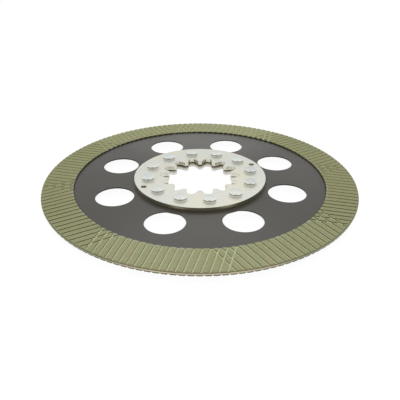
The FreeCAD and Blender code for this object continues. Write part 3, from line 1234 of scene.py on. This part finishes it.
@dataclass
class RivetRing:
    """The ring of solid rivets: bought heads on top, closed heads below."""

    head_radius: float = 6.9 * MM
    head_edge: float = 0.6 * MM
    crown: float = 0.12 * MM
    top_round: float = 0.35 * MM
    shoulder_round: float = 0.3 * MM
    foot_round: float = 0.15 * MM
    closed_radius: float = 6.6 * MM
    closed_edge: float = 1.0 * MM
    closed_round: float = 0.5 * MM
    turning_radius: float = 1.0 * MM
    tints: tuple[ZincTint, ...] = (
        ZincTint.DULL, ZincTint.BLUE, ZincTint.NEUTRAL, ZincTint.NEUTRAL,
        ZincTint.BLUE, ZincTint.NEUTRAL, ZincTint.BLUE, ZincTint.NEUTRAL,
        ZincTint.LAVENDER, ZincTint.BLUE, ZincTint.NEUTRAL, ZincTint.DULL)

    def _profile(self, top: float, bottom: float, hub_top: float) -> list[Vector]:
        """Half section of one rivet, from the middle of its top to the middle of its foot.

        Args:
            top: Height of the bought head's top.
            bottom: Height of the closed head's foot.
            hub_top: Height of the upper hub plate's face.

        Returns:
            Points whose X is a radius and whose Z is a height.
        """
        shoulder = top - self.crown
        corners = (
            (0.0, top, 0.0),
            (self.head_radius - self.head_edge, shoulder, self.top_round),
            (self.head_radius, shoulder - self.head_edge, self.shoulder_round),
            (self.head_radius, hub_top, self.foot_round),
            (RIVETS.radius, hub_top, 0.0),
            (RIVETS.radius, -hub_top, 0.0),
            (self.closed_radius, -hub_top, self.foot_round),
            (self.closed_radius, bottom + self.closed_edge, self.closed_round),
            (self.closed_radius - self.closed_edge, bottom, self.closed_round),
            (0.0, bottom, 0.0),
        )
        return rounded([(Vector((radius, 0.0, height)), roundness) for radius, height, roundness in corners])

    def _tree(self) -> NodeTree:
        """Tree of one rivet: its half section swept round its own axis.

        Returns:
            The tree.
        """
        tree = PieceTree("turned_rivet", {"Circle Radius": 0.059, "Angle": 0.0, "Turning Radius": 0.001})
        given = tree.given
        section = tree.node("GeometryNodeMeshToCurve", {"Mesh": given["Geometry"]})
        out, _, up = tree.split(tree.node("GeometryNodeInputPosition"))
        across = tree.math("SUBTRACT", out, given["Turning Radius"])
        flat = tree.vector(X=across, Y=tree.times(up, -1.0))
        laid = tree.node("GeometryNodeSetPosition", {"Geometry": section, "Position": flat})
        path = tree.circle(corners=64, radius=given["Turning Radius"])
        upright = tree.node("GeometryNodeSetCurveNormal", {"Curve": path}, mode="Z_UP")
        turned = tree.node("GeometryNodeCurveToMesh", {"Curve": upright, "Profile Curve": laid})
        cosine = tree.times(given["Circle Radius"], tree.math("COSINE", given["Angle"]))
        sine = tree.times(given["Circle Radius"], tree.math("SINE", given["Angle"]))
        return tree.finish(tree.welded(tree.moved(turned, X=cosine, Y=sine)))

    def build(self) -> list[Object]:
        """Make the rivets one by one and dress them.

        Returns:
            The pieces, in the order of their nodes.
        """
        tree = self._tree()
        finishes = {tint: HeadZinc(tint=tint).build() for tint in dict.fromkeys(self.tints)}
        hub_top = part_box("hub_plate_top")[1].z
        pieces = []
        for number, tint in enumerate(self.tints, 1):
            node = f"rivet_{number:02d}"
            low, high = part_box(node)
            section = wire("half_section", self._profile(high.z, low.z, hub_top))
            sizes = {"Circle Radius": RIVETS.circle_radius, "Turning Radius": self.turning_radius,
                     "Angle": RIVETS.start + math.tau * (number - 1) / RIVETS.count}
            piece = Piece(f"turned_{node}", node, "zinc_rivet", tree, sizes, finishes[tint], section)
            pieces.append(piece.build())
        return pieces


def rounded(corners: Sequence[tuple[Vector, float]], steps: int = 4) -> list[Vector]:
    """Round the corners of an open outline.

    Args:
        corners: Each corner and the radius that it is rounded to, 0 for a sharp one.
        steps: Straight pieces in each arc.

    Returns:
        The outline's points.
    """
    points: list[Vector] = []
    for number, (corner, radius) in enumerate(corners):
        if radius == 0.0:
            points.append(corner.copy())
            continue
        before = (corners[number - 1][0] - corner).normalized()
        after = (corners[number + 1][0] - corner).normalized()
        half = before.angle(after) / 2
        reach = radius / math.tan(half)
        centre = corner + (before + after).normalized() * (radius / math.sin(half))
        first = corner + before * reach - centre
        last = corner + after * reach - centre
        sweep = first.angle(last)
        for step in range(steps + 1):
            share = step / steps
            arm = (first * math.sin((1 - share) * sweep) + last * math.sin(share * sweep)) / math.sin(sweep)
            points.append(centre + arm)
    return points


def reflect(point: Vector, axis: Vector) -> Vector:
    """Mirror a point in the line through the origin along an axis."""
    along = axis.normalized()
    return 2 * point.dot(along) * along - point


def wire(name: str, points: Sequence[Vector]) -> Mesh:
    """Mesh of points, each joined to the next.

    Args:
        name: The mesh's name.
        points: The points.

    Returns:
        The mesh.
    """
    mesh = bpy.data.meshes.new(name)
    mesh.from_pydata(points, [(i, i + 1) for i in range(len(points) - 1)], [])
    return mesh


def turn_over(mesh: Mesh) -> None:
    """Turn a mesh over about the X axis, half a turn."""
    for vertex in mesh.vertices:
        vertex.co = Vector((vertex.co.x, -vertex.co.y, -vertex.co.z))
    mesh.update()


# Studio


@dataclass(frozen=True)
class Lamp:
    """A rectangular lamp that faces the disc's middle."""

    name: str
    place: tuple[float, float, float]
    size: tuple[float, float]
    power: float

    def hang(self) -> None:
        """Put the lamp in the scene, out of the sight of mirrors."""
        data = bpy.data.lights.new(self.name, "AREA")
        data.shape = "RECTANGLE"
        data.size, data.size_y = self.size
        data.energy = self.power
        holder = add_object(self.name, data)
        holder.location = self.place
        holder.visible_glossy = False
        holder.rotation_euler = (-holder.location).to_track_quat("-Z", "Y").to_euler()


@dataclass
class Studio:
    """Floor, light and camera. The soft lamp behind draws the grooves, the small one lights the front."""

    lamps: tuple[Lamp, ...] = (
        Lamp("softbox", (-0.12, 0.85, 0.72), (0.4, 0.3), 4.2),
        Lamp("fill", (0.0, -0.25, 0.55), (0.3, 0.3), 0.8))
    floor_size: float = 5.0
    floor_glow: float = 0.96
    floor_paint: float = 0.07
    floor_bounce: float = 0.93
    sky: float = 0.97
    dark_sky: float = 0.25
    dark_elevation: float = math.radians(62)
    dark_core: float = math.radians(10)
    dark_reach: float = math.radians(26)
    front_share: float = 0.45
    front_depth: float = 0.35
    bright_sky: float = 0.4
    bright_direction: tuple[float, float, float] = (0.1, 0.64, 0.76)
    bright_core: float = math.radians(8)
    bright_reach: float = math.radians(30)
    camera_place: tuple[float, float, float] = (0.000707, -0.495749, 0.252060)
    camera_elevation: float = 0.51447
    camera_roll: float = 0.00341
    focal_pixels: float = 485.226
    sensor: float = 36.0
    shift_pixels: float = 0.5

    def floor(self, height: float) -> None:
        """Lay the pale floor that the disc lies on.

        Args:
            height: Height of the floor.
        """
        half = self.floor_size / 2
        mesh = bpy.data.meshes.new("studio_floor")
        corners = [(x * half, y * half, height) for x, y in ((-1, -1), (1, -1), (1, 1), (-1, 1))]
        mesh.from_pydata(corners, [], [(0, 1, 2, 3)])
        floor = add_object("studio_floor", mesh)
        material = bpy.data.materials.new("studio_floor_finish")
        material.use_nodes = True
        nodes = Nodes(material.node_tree)
        material.node_tree.nodes.clear()
        rays = nodes.node("ShaderNodeLightPath").outputs
        seen = nodes.math("MAXIMUM", rays["Is Camera Ray"], rays["Is Glossy Ray"])
        seen = nodes.math("MAXIMUM", seen, rays["Is Transmission Ray"])
        glow = nodes.node("ShaderNodeEmission", {"Color": grey(1.0), "Strength": self.floor_glow})
        paint = nodes.node("ShaderNodeBsdfDiffuse", {"Color": grey(self.floor_paint)})
        both = nodes.node("ShaderNodeAddShader", {0: glow, 1: paint})
        plain_floor = nodes.node("ShaderNodeBsdfDiffuse", {"Color": grey(self.floor_bounce)})
        mixed = nodes.node("ShaderNodeMixShader", {0: seen, 1: plain_floor, 2: both})
        nodes.node("ShaderNodeOutputMaterial", {"Surface": mixed})
        mesh.materials.append(material)
        floor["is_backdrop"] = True

    def world(self) -> None:
        """Light the room, which the camera itself sees as plain white.

        Light comes from all round, less of it from the front for all but mirrors. A dark
        patch hangs high up in front and a bright one behind.
        """
        world = bpy.data.worlds.new("studio_light")
        bpy.context.scene.world = world
        world.use_nodes = True
        nodes = Nodes(world.node_tree)
        world.node_tree.nodes.clear()
        ray = nodes.node("ShaderNodeTexCoord").outputs["Generated"]
        rays = nodes.node("ShaderNodeLightPath").outputs

        def patch(direction: Vector, reach: float, core: float, outside: float, inside: float) -> Node:
            """Brightness that changes from outside a round patch of the sky to its middle."""
            toward = nodes.vector_math("DOT_PRODUCT", ray, direction).outputs["Value"]
            return nodes.ramp(toward, math.cos(reach), math.cos(core), outside, inside)

        dark = Vector((0.0, -math.cos(self.dark_elevation), math.sin(self.dark_elevation)))
        strength = patch(dark, self.dark_reach, self.dark_core, self.sky, self.dark_sky)
        front = nodes.ramp(nodes.split(ray)[1], -self.front_depth, self.front_depth, self.front_share, 1.0)
        strength = nodes.times(strength, nodes.math("MAXIMUM", front, rays["Is Glossy Ray"]))
        bright = Vector(self.bright_direction).normalized()
        glow = patch(bright, self.bright_reach, self.bright_core, 0.0, self.bright_sky)
        strength = nodes.math("ADD", strength, glow)
        hidden = nodes.math("SUBTRACT", 1.0, rays["Is Camera Ray"])
        strength = nodes.math("ADD", nodes.times(strength, hidden), rays["Is Camera Ray"])
        background = nodes.node("ShaderNodeBackground", {"Color": grey(1.0), "Strength": strength})
        nodes.node("ShaderNodeOutputWorld", {"Surface": background})

    def camera(self) -> None:
        """Put the camera where the photograph was taken from."""
        data = bpy.data.cameras.new("camera")
        data.sensor_width = self.sensor
        data.lens = self.focal_pixels * self.sensor / IMAGE_PIXELS
        data.shift_x = -self.shift_pixels / IMAGE_PIXELS
        data.shift_y = self.shift_pixels / IMAGE_PIXELS
        camera = add_object("camera", data)
        camera.location = self.camera_place
        forward = Vector((0.0, math.cos(self.camera_elevation), -math.sin(self.camera_elevation)))
        camera.rotation_mode = "QUATERNION"
        roll = Quaternion((0.0, 0.0, 1.0), self.camera_roll)
        camera.rotation_quaternion = forward.to_track_quat("-Z", "Y") @ roll
        bpy.context.scene.camera = camera

    def build(self) -> None:
        """Set the whole studio up."""
        low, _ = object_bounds()
        self.floor(low[2])
        self.world()
        for lamp in self.lamps:
            lamp.hang()
        self.camera()
        bpy.context.scene.view_settings.view_transform = "Standard"


def report(piece: Object) -> None:
    """Log how many triangles and open edges a piece has.

    Args:
        piece: The piece.
    """
    faces = piece.data.polygons
    edges = Counter(key for face in faces for key in face.edge_keys)
    triangles = sum(len(face.vertices) - 2 for face in faces)
    open_edges = sum(1 for count in edges.values() if count != 2)
    log.info("%s: %d triangles, %d open edges", piece.name, triangles, open_edges)


def main() -> None:
    """Build the studio, then every sub-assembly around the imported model, and report them."""
    logging.basicConfig(level=logging.INFO, format="%(name)s: %(message)s")
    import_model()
    Studio().build()
    for assembly in (CorePlate(), Linings(), SplinedHub(), RivetRing()):
        for piece in assembly.build():
            report(piece)
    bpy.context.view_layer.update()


if __name__ == "__main__":
    main()
